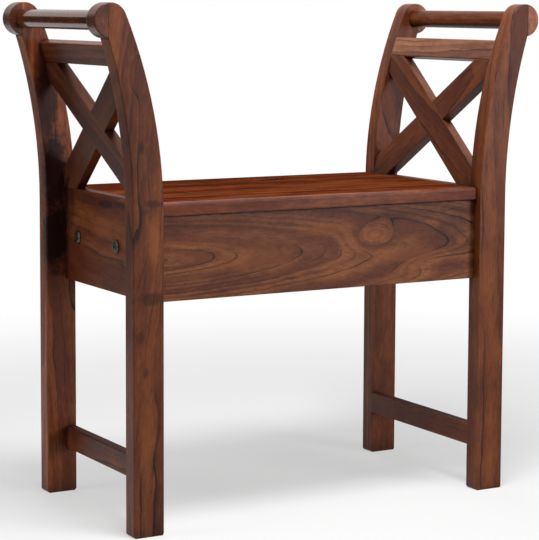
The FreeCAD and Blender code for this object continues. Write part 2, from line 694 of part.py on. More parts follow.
# Hinge leaf: level is -1 for the leaf on the apron, 1 for the leaf under the lid
def makeLeaf(label, hinge, level):
    name = label.title().replace("_", "")
    start = f"{hinge} - Sizes.hingeLength / 2"
    spans = [(start, thirdLength), (f"{start} + 2 * ({thirdLength} + Sizes.knuckleGap)", thirdLength)]
    if level > 0:
        spans = [(f"{start} + {thirdLength} + Sizes.knuckleGap", thirdLength)]
    base = "Worked.lidFoot" if level > 0 else "Worked.apronTop - Sizes.leafThick"
    edge = room if level > 0 else "Sizes.knuckleRadius + Sizes.knuckleStandoff"
    parts = [primitive("Part::Box", name + "Plate", (start, "Worked.hingeY - Sizes.leafReach", base),
                       Length="Sizes.hingeLength", Width=f"Sizes.leafReach - ({edge})",
                       Height="Sizes.leafThick")]
    for index, (left, length) in enumerate(spans):
        parts.append(primitive("Part::Box", f"{name}Arm{index}", (left, f"Worked.hingeY - ({edge})", base),
                               Length=length, Width=edge, Height="Sizes.leafThick"))
        parts.append(primitive("Part::Cylinder", f"{name}Knuckle{index}", onHinge(left), alongX,
                               Radius="Sizes.knuckleRadius", Height=length))
    # the pin is held in the fixed leaf and runs in the other
    bore = "Sizes.pinRadius + Sizes.pinClearance" if level > 0 else "Sizes.pinRadius"
    tools = [primitive("Part::Cylinder", name + "Bore", onHinge(start), alongX,
                       Radius=bore, Height="Sizes.hingeLength")]
    for index, screw in enumerate(screwPlaces(hinge)):
        # countersink that opens towards the other leaf
        lower, upper = headRadii(level)
        tools.append(primitive("Part::Cone", f"{name}Sink{index}", (screw, screwLine, base),
                               Radius1=lower, Radius2=upper, Height="Sizes.leafThick"))
    return keep(cut(name, fuse(name + "Blank", parts), fuse(name + "Holes", tools)), label)


def makeScrews(label, level):
    name = label.title().replace("_", "")
    screws = []
    for hinge in hingePlaces():
        for screw in screwPlaces(hinge):
            number = len(screws)
            lower, upper = headRadii(level)
            if level > 0:
                head = "Worked.lidFoot"
                shank = "Worked.lidFoot + Sizes.leafThick"
            else:
                head = "Worked.apronTop - Sizes.leafThick"
                shank = "Worked.apronTop - Sizes.screwLength"
            cone = primitive("Part::Cone", f"{name}Head{number}", (screw, screwLine, head),
                             Radius1=lower, Radius2=upper, Height="Sizes.leafThick")
            stem = primitive("Part::Cylinder", f"{name}Stem{number}", (screw, screwLine, shank),
                             Radius="Sizes.screwRadius", Height="Sizes.screwLength - Sizes.leafThick")
            screws.append(fuse(f"{name}Screw{number}", [cone, stem]))
    return group(label, screws)


for side, hinge in zip(("left", "right"), hingePlaces()):
    makeLeaf(f"hinge_fixed_leaf_{side}", hinge, -1)
    makeLeaf(f"hinge_lid_leaf_{side}", hinge, 1)
    pin = primitive("Part::Cylinder", f"HingePin{side.title()}", onHinge(f"{hinge} - Sizes.hingeLength / 2"),
                    alongX, Radius="Sizes.pinRadius", Height="Sizes.hingeLength")
    keep(pin, f"hinge_pin_{side}")
makeScrews("hinge_screws_apron", -1)
makeScrews("hinge_screws_lid", 1)

# Bolts with flat crowned heads outside, washers and nuts inside the box
bolts, washers, nuts = [], [], []
inwardsFromRight = (Vector(0, 1, 0), -90)
for sideName, sign in (("Left", "-"), ("Right", "")):
    outwards = alongX if sign == "" else inwardsFromRight

    def at(expression):
        return f"{sign}({expression})"

    for place in boltPlaces:
        tag = f"{sideName}{'Back' if place == boltPlaces[0] else 'Front'}"
        panelFace = "Worked.halfSpan + Sizes.panelThick"
        gripInside = "Worked.boxInnerHalfSpan"
        shankEnd = f"{gripInside} - Sizes.washerThick - Sizes.nutThick - Sizes.boltTail"
        shankLength = f"{panelFace} - ({shankEnd})"

        def piece(kind, name, x, **sizesOf):
            return primitive(kind, name + tag, (at(x), place, "Worked.boltHeight"), outwards, **sizesOf)

        shank = piece("Part::Cylinder", "BoltShank", shankEnd, Radius="Sizes.boltRadius", Height=shankLength)
        head = piece("Part::Cylinder", "BoltHead", panelFace, Radius="Sizes.boltHeadRadius",
                     Height="Sizes.boltHeadThick")
        crown = piece("Part::Cone", "BoltCrown", f"{panelFace} + Sizes.boltHeadThick",
                      Radius1="Sizes.boltHeadRadius", Radius2="Sizes.boltHeadRadius - Sizes.boltCrownInset",
                      Height="Sizes.boltHeadCrown")
        socket = piece("Part::Prism", "BoltSocket",
                       f"{panelFace} + Sizes.boltHeadThick + Sizes.boltHeadCrown - Sizes.socketDepth",
                       Circumradius="Sizes.socketRadius", Height="Sizes.socketDepth")
        socket.Polygon = 6
        bolts.append(cut("Bolt" + tag, fuse("BoltBlank" + tag, [shank, head, crown]), socket))
        washerBlank = piece("Part::Cylinder", "WasherBlank", f"{gripInside} - Sizes.washerThick",
                            Radius="Sizes.washerRadius", Height="Sizes.washerThick")
        washerBore = piece("Part::Cylinder", "WasherBore", f"{gripInside} - Sizes.washerThick",
                           Radius="Sizes.boltRadius + Sizes.boltHoleClearance", Height="Sizes.washerThick")
        washers.append(cut("Washer" + tag, washerBlank, washerBore))
        nutPlace = f"{gripInside} - Sizes.washerThick - Sizes.nutThick"
        nutBlank = piece("Part::Prism", "NutBlank", nutPlace,
                         Circumradius="Sizes.nutRadius", Height="Sizes.nutThick")
        nutBlank.Polygon = 6
        nutBore = piece("Part::Cylinder", "NutBore", nutPlace,
                        Radius="Sizes.boltRadius", Height="Sizes.nutThick")
        nuts.append(cut("Nut" + tag, nutBlank, nutBore))
group("seat_bolts", bolts)
group("bolt_washers", washers)
group("bolt_nuts", nuts)

doc.recompute()

# Nothing is written unless every object is sound
for thing in doc.Objects:
    if "Invalid" in thing.State or "Error" in thing.State:
        raise RuntimeError(f"{thing.Label}: {thing.State}")
for part in subParts:
    if part.Shape.isNull() or not part.Shape.isValid():
        raise RuntimeError(f"{part.Label}: shape is not sound")

os.makedirs("parts", exist_ok=True)
for part in subParts:
    part.Shape.exportStep(f"parts/{part.Label}.step")
print(len(subParts), "sub-parts written")
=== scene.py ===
import math

import bpy
from mathutils import Matrix, Vector


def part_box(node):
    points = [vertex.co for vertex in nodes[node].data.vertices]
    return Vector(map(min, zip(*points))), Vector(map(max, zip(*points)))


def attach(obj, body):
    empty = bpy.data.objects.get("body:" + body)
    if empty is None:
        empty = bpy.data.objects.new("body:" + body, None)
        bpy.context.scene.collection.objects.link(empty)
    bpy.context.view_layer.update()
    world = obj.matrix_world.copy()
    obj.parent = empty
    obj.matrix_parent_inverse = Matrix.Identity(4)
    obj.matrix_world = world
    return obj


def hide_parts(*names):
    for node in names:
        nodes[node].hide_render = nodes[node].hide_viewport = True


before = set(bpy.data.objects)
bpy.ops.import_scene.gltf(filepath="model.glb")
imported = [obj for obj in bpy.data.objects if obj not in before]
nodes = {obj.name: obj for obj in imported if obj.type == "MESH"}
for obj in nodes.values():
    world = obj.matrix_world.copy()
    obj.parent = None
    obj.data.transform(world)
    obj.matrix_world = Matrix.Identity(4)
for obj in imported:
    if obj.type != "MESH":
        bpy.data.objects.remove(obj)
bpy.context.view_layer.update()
print("frame loaded:", len(nodes), "parts")


# Camera, at the photograph's place and angle

photo = {
    "place": (-1.5269, -2.6613, 0.7586),
    "pan": 0.5189,  # turned from straight back towards the right
    "tilt": 0.1008,  # looking down
    "roll": 0.0046,
    "focal": 1987.28,  # in pixels of the photograph
    "width": 539,
    "height": 540,
    "middle": (269.59, 204.99),  # pixel that the lens points at
    "sensor": 36.0,
}


def makeCamera(look):
    lens = bpy.data.cameras.new("photoLens")
    camera = bpy.data.objects.new("photoCamera", lens)
    bpy.context.scene.collection.objects.link(camera)
    up = Vector((0, 0, 1))
    ahead = Vector((math.sin(look["pan"]), math.cos(look["pan"]), 0))
    right = Vector((math.cos(look["pan"]), -math.sin(look["pan"]), 0))
    tilt, roll = look["tilt"], look["roll"]
    forward = ahead * math.cos(tilt) - up * math.sin(tilt)
    top = up * math.cos(tilt) + ahead * math.sin(tilt)
    side = right * math.cos(roll) + top * math.sin(roll)
    top = top * math.cos(roll) - right * math.sin(roll)
    turn = Matrix((side, top, -forward)).transposed().to_4x4()
    camera.matrix_world = Matrix.Translation(look["place"]) @ turn
    longSide = max(look["width"], look["height"])
    lens.sensor_width = look["sensor"]
    lens.lens = look["focal"] * look["sensor"] / longSide
    lens.shift_x = (look["width"] / 2 - look["middle"][0]) / longSide
    lens.shift_y = (look["middle"][1] - look["height"] / 2) / longSide
    lens.clip_end = 200
    bpy.context.scene.camera = camera


makeCamera(photo)
print("camera set")


# Studio: pale floor, white surround, soft lamps

studio = {
    "floorSize": 60.0,
    "floorColour": (0.55, 0.55, 0.55),
    "floorSeen": (0.50, 0.50, 0.50),  # with the glow below, the lit floor reads as white
    "floorGlow": 0.50,
    "fadeFrom": 0.7,  # the floor turns into the white backdrop between these distances
    "fadeTo": 2.0,
    "worldColour": (1.0, 1.0, 1.0),
    "worldLight": 0.05,  # what the white surround gives the bench, which the lamps light
    "cardColour": (0.02, 0.02, 0.02),
}
lamps = {
    "keyFront": {"place": (1.6, -2.6, 0.8), "aim": (0, 0, 0.45), "size": 1.0, "power": 30},
    "overBench": {"place": (-0.2, -0.6, 1.9), "aim": (0.1, 0, 0.5), "size": 0.6, "power": 25},
    "ceiling": {"place": (0.2, -0.5, 2.6), "aim": (0, 0, 0.45), "size": 1.2, "power": 6},
    "fillLeft": {"place": (-2.6, 0.4, 0.7), "aim": (0, 0, 0.45), "size": 1.2, "power": 18},
    "fillBack": {"place": (0.5, 2.6, 1.1), "aim": (0, 0, 0.45), "size": 1.6, "power": 14,
                 "shines": False},  # lights the back only, with no shine on the lid
}
# dark boards round the bench, met by reflections only, keep the lacquer deep
cards = {
    "darkCardSide": {"place": (-1.1, 1.2, 0.6), "turn": (90, 0, 90), "size": (3.2, 1.2)},
    "darkCardBack": {"place": (1.3, 2.2, 0.62), "turn": (90, 0, -30), "size": (4.2, 1.2)},
    "darkCardFront": {"place": (1.4, -2.1, 0.6), "turn": (90, 0, 40), "size": (3.0, 1.2)},
    "darkCardNear": {"place": (-2.3, -1.6, 0.75), "turn": (90, 0, -55), "size": (3.0, 0.8)},
}


def newTree(owner):
    owner.use_nodes = True
    tree = owner.node_tree
    tree.nodes.clear()
    return tree


def addNode(tree, kind, *inputs, **settings):
    node = tree.nodes.new(kind)
    for name, value in settings.items():
        setattr(node, name, value)
    for place, value in enumerate(inputs):
        plug(tree, node, place, value)
    return node


def plug(tree, node, place, value):
    if value is None:
        return
    if isinstance(value, bpy.types.NodeSocket):
        tree.links.new(value, node.inputs[place])
    else:
        node.inputs[place].default_value = value


def maths(tree, operation, *inputs):
    return addNode(tree, "ShaderNodeMath", *inputs, operation=operation).outputs[0]


def noise(tree, vector, scale, detail, rough):
    node = addNode(tree, "ShaderNodeTexNoise")
    for name, value in (("Vector", vector), ("Scale", scale), ("Detail", detail),
                        ("Roughness", rough)):
        plug(tree, node, name, value)
    return node.outputs["Fac"]


def stretch(tree, vector, scale):
    node = addNode(tree, "ShaderNodeVectorMath", vector, scale, operation="MULTIPLY")
    return node.outputs[0]


def blend(tree, amount, first, second, kind="MIX"):
    # inputs 6 and 7 and output 2 are the mix node's colours
    node = addNode(tree, "ShaderNodeMix", data_type="RGBA", blend_type=kind)
    plug(tree, node, 0, amount)
    plug(tree, node, 6, first)
    plug(tree, node, 7, second)
    return node.outputs[2]


def span(tree, value, low, high, to=(0.0, 1.0)):
    node = addNode(tree, "ShaderNodeMapRange", value, low, high, *to)
    node.interpolation_type = "SMOOTHSTEP"
    return node.outputs[0]


def seenRays(tree):
    path = addNode(tree, "ShaderNodeLightPath").outputs
    either = maths(tree, "MAXIMUM", path["Is Camera Ray"], path["Is Glossy Ray"])
    return maths(tree, "MAXIMUM", either, path["Is Transmission Ray"])


def makeAir(setting):
    # white to whatever looks at it, and nearly dark as a light
    world = bpy.data.worlds.new("studioAir")
    bpy.context.scene.world = world
    tree = newTree(world)
    lift = maths(tree, "MULTIPLY_ADD", seenRays(tree), 1 - setting["worldLight"],
                 setting["worldLight"])
    air = addNode(tree, "ShaderNodeBackground", (*setting["worldColour"], 1), lift)
    addNode(tree, "ShaderNodeOutputWorld", air.outputs[0])


def makeFloor(setting):
    bpy.ops.object.select_all(action="DESELECT")
    bpy.ops.mesh.primitive_plane_add(size=setting["floorSize"], location=(0, 0, 0))
    floor = bpy.context.active_object
    floor.name = "paleFloor"
    finish = bpy.data.materials.new("paleFloorPaint")
    tree = newTree(finish)
    seen = seenRays(tree)
    where = addNode(tree, "ShaderNodeTexCoord").outputs["Object"]
    away = addNode(tree, "ShaderNodeVectorMath", where, operation="LENGTH").outputs["Value"]
    far = maths(tree, "MULTIPLY", span(tree, away, setting["fadeFrom"], setting["fadeTo"]), seen)
    pale = blend(tree, seen, (*setting["floorColour"], 1), (*setting["floorSeen"], 1))
    paint = addNode(tree, "ShaderNodeBsdfDiffuse", pale)
    glow = addNode(tree, "ShaderNodeEmission", (1, 1, 1, 1),
                   maths(tree, "MULTIPLY", seen, setting["floorGlow"]))
    near = addNode(tree, "ShaderNodeAddShader", paint.outputs[0], glow.outputs[0])
    white = addNode(tree, "ShaderNodeEmission", (1, 1, 1, 1), 1.0)
    both = addNode(tree, "ShaderNodeMixShader", far, near.outputs[0], white.outputs[0])
    addNode(tree, "ShaderNodeOutputMaterial", both.outputs[0])
    floor.data.materials.append(finish)


def makeCards(setting, boards):
    paint = bpy.data.materials.new("darkCardPaint")
    tree = newTree(paint)
    black = addNode(tree, "ShaderNodeBsdfDiffuse", (*setting["cardColour"], 1))
    addNode(tree, "ShaderNodeOutputMaterial", black.outputs[0])
    for name, card in boards.items():
        bpy.ops.object.select_all(action="DESELECT")
        turn = [math.radians(angle) for angle in card["turn"]]
        bpy.ops.mesh.primitive_plane_add(size=1, location=card["place"], rotation=turn)
        board = bpy.context.active_object
        board.name = name
        board.scale = (*card["size"], 1)
        board.data.materials.append(paint)
        board.visible_camera = board.visible_diffuse = False
        board.visible_shadow = board.visible_transmission = False


def makeLamps(rows):
    for name, lamp in rows.items():
        light = bpy.data.lights.new(name, "AREA")
        light.shape = "SQUARE"
        light.size = lamp["size"]
        light.energy = lamp["power"]
        holder = bpy.data.objects.new(name, light)
        bpy.context.scene.collection.objects.link(holder)
        away = Vector(lamp["place"]) - Vector(lamp["aim"])
        turn = away.to_track_quat("Z", "Y").to_matrix().to_4x4()
        holder.matrix_world = Matrix.Translation(lamp["place"]) @ turn
        holder.visible_glossy = lamp.get("shines", True)


makeAir(studio)
makeFloor(studio)
makeCards(studio, cards)
makeLamps(lamps)
bpy.context.scene.view_settings.view_transform = "Standard"
print("studio lit")


# Wood: growth rings cut by each board's faces, with fibres, pores and soft blotches

def newGroup(name, inputs, outputs):
    group = bpy.data.node_groups.new(name, "ShaderNodeTree")
    for label, kind in inputs:
        group.interface.new_socket(name=label, in_out="INPUT", socket_type=kind)
    for label, kind in outputs:
        group.interface.new_socket(name=label, in_out="OUTPUT", socket_type=kind)
    come = group.nodes.new("NodeGroupInput").outputs
    group.nodes.new("NodeGroupOutput")
    return group, come


grainPattern = {
    # noises: how far each is drawn out along the log, its scale, detail and roughness
    "slowBend": (3.0, 6.0, 2.0, 0.55),
    "quickBend": (3.0, 38.0, 3.0, 0.55),
    "fading": (5.0, 17.0, 2.0, 0.55),
    "blotch": (2.5, 26.0, 4.0, 0.62),
    "streak": (16.0, 120.0, 3.0, 0.6),
    "fibre": (40.0, 1000.0, 3.0, 0.7),
    "pore": (22.0, 1500.0, 1.0, 0.5),
    "fleck": (6.0, 420.0, 2.0, 0.6),
    "quickShare": 0.22,  # of the wander
    "lateWood": (0.45, 0.95),  # share of a ring where its darker wood begins, and is darkest
    "darkLine": (0.80, 0.97),  # the same for the line at its end
    "lateDepth": 0.35,
    "bandRate": 0.42,  # how quickly broad bands follow the rings
    "bandShare": 0.6,  # of the light and dark that the bands give, the rest being blotches
    "poreDepth": 0.5,
}


def makeGrain(pattern):
    tree, come = newGroup(
        "sheeshamGrain",
        [("Place", "NodeSocketVector"), ("Push", "NodeSocketFloat"),
         ("Ring Width", "NodeSocketFloat"), ("Wander", "NodeSocketFloat"),
         ("Streaks", "NodeSocketFloat"), ("Lines", "NodeSocketFloat"),
         ("Heart Colour", "NodeSocketColor"), ("Dark Colour", "NodeSocketColor"),
         ("Pale Colour", "NodeSocketColor")],
        [("Colour", "NodeSocketColor"), ("Roughness", "NodeSocketFloat"),
         ("Height", "NodeSocketFloat")],
    )
    place = come["Place"]

    def along(name):
        length, scale, detail, rough = pattern[name]
        return noise(tree, stretch(tree, place, (1, 1, 1 / length)), scale, detail, rough)

    def peak(ring, begin, full):
        # up from begin to full, then quickly down by the ring's end
        return maths(tree, "MULTIPLY", span(tree, ring, begin, full), span(tree, ring, 1.0, full))

    # rings are the distance from the log's heart, pushed about by slow noise and knots
    heart = addNode(tree, "ShaderNodeVectorMath", stretch(tree, place, (1, 1, 0)),
                    operation="LENGTH").outputs["Value"]
    slow = maths(tree, "MULTIPLY", maths(tree, "SUBTRACT", along("slowBend"), 0.5),
                 come["Wander"])
    quick = maths(tree, "MULTIPLY", maths(tree, "SUBTRACT", along("quickBend"), 0.5),
                  maths(tree, "MULTIPLY", come["Wander"], pattern["quickShare"]))
    depth = maths(tree, "ADD", maths(tree, "ADD", heart, slow),
                  maths(tree, "ADD", quick, come["Push"]))
    rings = maths(tree, "DIVIDE", depth, come["Ring Width"])
    ring = maths(tree, "FRACT", rings)
    late = peak(ring, *pattern["lateWood"])
    line = peak(ring, *pattern["darkLine"])
    # each ring has its own strength, and comes and goes along the board
    lot = addNode(tree, "ShaderNodeTexWhiteNoise", noise_dimensions="1D")
    plug(tree, lot, "W", maths(tree, "FLOOR", rings))
    strength = maths(tree, "MULTIPLY", span(tree, lot.outputs["Value"], 0.25, 0.95),
                     span(tree, along("fading"), 0.36, 0.58))
    band = addNode(tree, "ShaderNodeTexNoise", noise_dimensions="1D")
    for name, value in (("W", maths(tree, "MULTIPLY", rings, pattern["bandRate"])),
                        ("Scale", 1.0), ("Detail", 2.0)):
        plug(tree, band, name, value)

    share = pattern["bandShare"]
    blotch = maths(tree, "ADD", maths(tree, "MULTIPLY", band.outputs["Fac"], share),
                   maths(tree, "MULTIPLY", along("blotch"), 1 - share))
    colour = blend(tree, span(tree, blotch, 0.40, 0.62), come["Heart Colour"],
                   come["Pale Colour"])
    streak = maths(tree, "MULTIPLY", span(tree, along("streak"), 0.52, 0.74), come["Streaks"])
    colour = blend(tree, streak, colour, come["Dark Colour"])
    soft = maths(tree, "MULTIPLY", late, maths(tree, "MULTIPLY", strength, pattern["lateDepth"]))
    colour = blend(tree, soft, colour, come["Dark Colour"])
    dark = maths(tree, "MULTIPLY", line, maths(tree, "MULTIPLY", strength, come["Lines"]))
    colour = blend(tree, dark, colour, come["Dark Colour"])
    fibre = along("fibre")
    pore = span(tree, along("pore"), 0.64, 0.72)
    fleck = span(tree, along("fleck"), 0.30, 0.70, (0.84, 1.14))
    tone = maths(tree, "MULTIPLY", span(tree, fibre, 0.25, 0.75, (0.86, 1.14)), fleck)
    shade = addNode(tree, "ShaderNodeCombineColor", tone, tone, tone).outputs[0]
    colour = blend(tree, 1.0, colour, shade, "MULTIPLY")
    colour = blend(tree, maths(tree, "MULTIPLY", pore, pattern["poreDepth"]), colour,
                   come["Dark Colour"])
    goes = tree.nodes["Group Output"]
    plug(tree, goes, "Colour", colour)
    plug(tree, goes, "Roughness", maths(tree, "ADD", span(tree, fibre, 0.2, 0.8, (0.0, 0.08)),
                                        maths(tree, "MULTIPLY", pore, 0.15)))
    plug(tree, goes, "Height", maths(tree, "SUBTRACT", maths(tree, "MULTIPLY", fibre, 0.35),
                                     maths(tree, "ADD", maths(tree, "MULTIPLY", pore, 0.6),
                                           maths(tree, "MULTIPLY", late, 0.12))))
    return tree


knotShape = {
    "rim": (90.0, 4.0, 0.65),  # scale, detail and roughness of what breaks up a stain's rim
    "ragged": 1.1,
    "stainAndShade": (0.18, 0.72),  # where the mask begins, and is full; it marks stains and painted shade alike
}


def makeKnot(shape):
    # pushes the rings round a centre, and gives the mask that goes with it, which darkens real
    # stains and painted shade alike
    tree, come = newGroup(
        "knotPush",
        [("Place", "NodeSocketVector"), ("Centre", "NodeSocketVector"),
         ("Reach", "NodeSocketVector"), ("Strength", "NodeSocketFloat")],
        [("Push", "NodeSocketFloat"), ("Mask", "NodeSocketFloat")],
    )
    offset = addNode(tree, "ShaderNodeVectorMath", come["Place"], come["Centre"],
                     operation="SUBTRACT").outputs[0]
    scaled = addNode(tree, "ShaderNodeVectorMath", offset, come["Reach"],
                     operation="DIVIDE").outputs[0]
    square = addNode(tree, "ShaderNodeVectorMath", scaled, scaled,
                     operation="DOT_PRODUCT").outputs["Value"]
    swell = maths(tree, "EXPONENT", maths(tree, "MULTIPLY", square, -1.0))
    goes = tree.nodes["Group Output"]
    plug(tree, goes, "Push", maths(tree, "MULTIPLY", swell, come["Strength"]))
    ragged = maths(tree, "SUBTRACT", noise(tree, come["Place"], *shape["rim"]), 0.5)
    edge = maths(tree, "MULTIPLY_ADD", ragged, shape["ragged"], swell)
    plug(tree, goes, "Mask", span(tree, edge, *shape["stainAndShade"]))
    return tree


paintedCornerShadeShape = {
    "samples": 6,
    "shut": (0.84, 0.36),  # share of open space at which the painted shade begins, and is full
    "patches": (45.0, 3.0, 0.6),  # scale, detail and roughness of its unevenness
    "least": 0.55,  # what is left of it in its palest patches
}


def makePaintedCornerShade(shape):
    # paints shade into inner corners, darker where less open space is within reach
    tree, come = newGroup(
        "paintedCornerShade",
        [("Colour", "NodeSocketColor"), ("Dirt Colour", "NodeSocketColor"),
         ("Reach", "NodeSocketFloat"), ("Amount", "NodeSocketFloat")],
        [("Colour", "NodeSocketColor")],
    )
    shut = addNode(tree, "ShaderNodeAmbientOcclusion", samples=shape["samples"])
    plug(tree, shut, "Distance", come["Reach"])
    where = addNode(tree, "ShaderNodeTexCoord").outputs["Object"]
    patches = noise(tree, where, *shape["patches"])
    uneven = span(tree, patches, 0.25, 0.75, (shape["least"], 1.0))
    deep = span(tree, shut.outputs["AO"], *shape["shut"])
    mask = maths(tree, "MULTIPLY", maths(tree, "MULTIPLY", deep, uneven), come["Amount"])
    plug(tree, tree.nodes["Group Output"], "Colour",
         blend(tree, mask, come["Colour"], come["Dirt Colour"]))
    return tree


edgeWearAndSheenShape = {
    "samples": 6,
    "turn": (0.99, 0.80),  # agreement with the true face at which the wear and painted highlight begin, and are full
    "patches": (60.0, 3.0, 0.6),  # scale, detail and roughness of the rubbed and highlighted patches
    "patchEdge": (0.40, 0.68),
}


def makeEdgeWearAndSheen(shape):
    # rounds edges in the shading, and pales them in patches where they turn, partly as wear and
    # partly as a painted highlight
    tree, come = newGroup(
        "rubbedAndSheenEdges",
        [("Colour", "NodeSocketColor"), ("Rubbed Colour", "NodeSocketColor"),
         ("Width", "NodeSocketFloat"), ("Amount", "NodeSocketFloat")],
        [("Colour", "NodeSocketColor"), ("Normal", "NodeSocketVector")],
    )
    rounded = addNode(tree, "ShaderNodeBevel", samples=shape["samples"])
    plug(tree, rounded, "Radius", come["Width"])
    true = addNode(tree, "ShaderNodeNewGeometry").outputs["True Normal"]
    agree = addNode(tree, "ShaderNodeVectorMath", rounded.outputs[0], true,
                    operation="DOT_PRODUCT").outputs["Value"]
    turned = span(tree, agree, *shape["turn"])
    where = addNode(tree, "ShaderNodeTexCoord").outputs["Object"]
    patchy = span(tree, noise(tree, where, *shape["patches"]), *shape["patchEdge"])
    mask = maths(tree, "MULTIPLY", maths(tree, "MULTIPLY", turned, patchy), come["Amount"])
    goes = tree.nodes["Group Output"]
    plug(tree, goes, "Colour", blend(tree, mask, come["Colour"], come["Rubbed Colour"]))
    plug(tree, goes, "Normal", rounded.outputs[0])
    return tree


grainGroup = makeGrain(grainPattern)
knotGroup = makeKnot(knotShape)
wearAndSheenGroup = makeEdgeWearAndSheen(edgeWearAndSheenShape)
cornerShadeGroup = makePaintedCornerShade(paintedCornerShadeShape)


def useGroup(tree, group, **values):
    node = tree.nodes.new("ShaderNodeGroup")
    node.node_tree = group
    for name, value in values.items():
        plug(tree, node, name.replace("_", " "), value)
    return node.outputs


sheesham = {  # what a board has unless its own row says otherwise
    "heart": (0.108, 0.024, 0.009),
    "dark": (0.024, 0.008, 0.006),
    "pale": (0.240, 0.068, 0.020),
    # pale colour of rubbed edges and chips, also used for the highlight painted along edges
    "rubbedAndSheen": (0.34, 0.18, 0.10),
    # nearly black, painted as shade into inner corners
    "cornerShade": (0.010, 0.002, 0.002),
    "ringWidth": 0.011,
    "wander": 0.045,
    "streaks": 0.45,
    "lines": 1.2,
    "roughness": 0.32,
    "specular": 0.18,
    "bump": 0.22,
    "bumpDepth": 0.0006,
    "edgeRound": 0.0016,
    "edgeRubAndSheen": 0.40,
    "cornerShadeReach": 0.036,
    "cornerShadeAmount": 0.95,
    "tone": 1.0,  # multiplies the three colours of the wood
    "coat": None,  # lacquer that shines in front of this Y, as on the lid's rounded front
    "coatFade": 0.006,  # how far behind that line it fades
    "coatBehind": 0.10,  # and how much of it is left there
    "coatRough": 0.18,
    "glow": (0.310, 0.095, 0.028),
    "glows": (),  # place, reach and amount of warm orange patches
    "glueLine": None,  # distance from the middle to the glue line of a scroll
    "seam": (0.0008, 0.0002),  # half widths of that line, outer and full dark
    "knots": (),  # place, reach, push of the rings, how dark; real knots and stains, and also painted shade
    "chips": (),  # places of small pale chips in the finish
    "chipSize": 0.0009,
}


def woodFinish(name, along, pith, **own):
    # along turns the pattern so that the log runs with the board; pith is its heart's place
    look = dict(sheesham, **own)
    heart, dark, pale = (tuple(part * look["tone"] for part in look[shade])
                         for shade in ("heart", "dark", "pale"))
    finish = bpy.data.materials.new(name)
    tree = newTree(finish)
    where = addNode(tree, "ShaderNodeTexCoord").outputs["Object"]
    turned = addNode(tree, "ShaderNodeMapping", where, vector_type="TEXTURE")
    turned.inputs["Location"].default_value = pith
    turned.inputs["Rotation"].default_value = along
    place, push, stainAndShade = turned.outputs[0], 0.0, None
    for centre, reach, strength, darkness in look["knots"]:
        knot = useGroup(tree, knotGroup, Place=where, Centre=centre, Reach=reach,
                        Strength=strength)
        push = maths(tree, "ADD", push, knot["Push"])
        if darkness:
            patch = maths(tree, "MULTIPLY", knot["Mask"], darkness)
            stainAndShade = maths(tree, "MAXIMUM", stainAndShade, patch) if stainAndShade else patch
    if look["glueLine"]:
        # the scroll's outer block is another board, glued on beyond this distance
        x = addNode(tree, "ShaderNodeSeparateXYZ", where).outputs["X"]
        past = maths(tree, "SUBTRACT", maths(tree, "ABSOLUTE", x), look["glueLine"])
        block = maths(tree, "GREATER_THAN", past, 0.0)
        place = addNode(tree, "ShaderNodeVectorMath", place,
                        addNode(tree, "ShaderNodeCombineXYZ", block, block, block).outputs[0],
                        operation="ADD").outputs[0]
        seam = span(tree, maths(tree, "ABSOLUTE", past), *look["seam"])
        stainAndShade = maths(tree, "MAXIMUM", stainAndShade, seam) if stainAndShade else seam
    grain = useGroup(tree, grainGroup, Place=place, Push=push, Ring_Width=look["ringWidth"],
                     Wander=look["wander"], Streaks=look["streaks"], Lines=look["lines"],
                     Heart_Colour=(*heart, 1), Dark_Colour=(*dark, 1), Pale_Colour=(*pale, 1))
    colour = grain["Colour"]
    # stains, dark glue lines and painted shade darken the grain here
    if stainAndShade:
        colour = blend(tree, stainAndShade, colour, (*dark, 1))
    for centre, reach, amount in look["glows"]:
        warm = useGroup(tree, knotGroup, Place=where, Centre=centre, Reach=reach,
                        Strength=0.0)["Mask"]
        colour = blend(tree, maths(tree, "MULTIPLY", warm, amount), colour, (*look["glow"], 1))
    for centre in look["chips"]:
        size = look["chipSize"]
        spot = useGroup(tree, knotGroup, Place=where, Centre=centre, Reach=(size, size, size),
                        Strength=0.0)["Mask"]
        colour = blend(tree, span(tree, spot, 0.35, 0.55), colour, (*look["rubbedAndSheen"], 1))
    # pale edges: partly rubbed wear, partly a painted highlight
    wearAndSheen = useGroup(tree, wearAndSheenGroup, Colour=colour, Width=look["edgeRound"],
                    Amount=look["edgeRubAndSheen"], Rubbed_Colour=(*look["rubbedAndSheen"], 1))
    # painted shade in the inner corners
    cornerShade = useGroup(tree, cornerShadeGroup, Colour=wearAndSheen["Colour"], Dirt_Colour=(*look["cornerShade"], 1),
                    Reach=look["cornerShadeReach"], Amount=look["cornerShadeAmount"])
    bump = addNode(tree, "ShaderNodeBump")
    for socket, value in (("Strength", look["bump"]), ("Distance", look["bumpDepth"]),
                          ("Height", grain["Height"]), ("Normal", wearAndSheen["Normal"])):
        plug(tree, bump, socket, value)
    skin = addNode(tree, "ShaderNodeBsdfPrincipled")
    plug(tree, skin, "Base Color", cornerShade["Colour"])
    plug(tree, skin, "Roughness", maths(tree, "ADD", grain["Roughness"], look["roughness"]))
    plug(tree, skin, "Normal", bump.outputs[0])
    skin.inputs["Specular IOR Level"].default_value = look["specular"]
    if look["coat"] is not None:
        y = addNode(tree, "ShaderNodeSeparateXYZ", where).outputs["Y"]
        plug(tree, skin, "Coat Weight", span(tree, y, look["coat"] + look["coatFade"],
                                             look["coat"], (look["coatBehind"], 1.0)))
        skin.inputs["Coat Roughness"].default_value = look["coatRough"]
    addNode(tree, "ShaderNodeOutputMaterial", skin.outputs[0])
    return finish


quarter = math.pi / 2
slatSlope = math.radians(54.5)  # from upright to the crossed slats' own line
acrossGrain = (0, quarter, 0)  # log runs with X
depthGrain = (quarter, 0, 0)  # log runs with Y


def dress(finish, *names):
    for name in names:
        node = nodes[name]
        node.data.materials.clear()
        node.data.materials.append(finish)
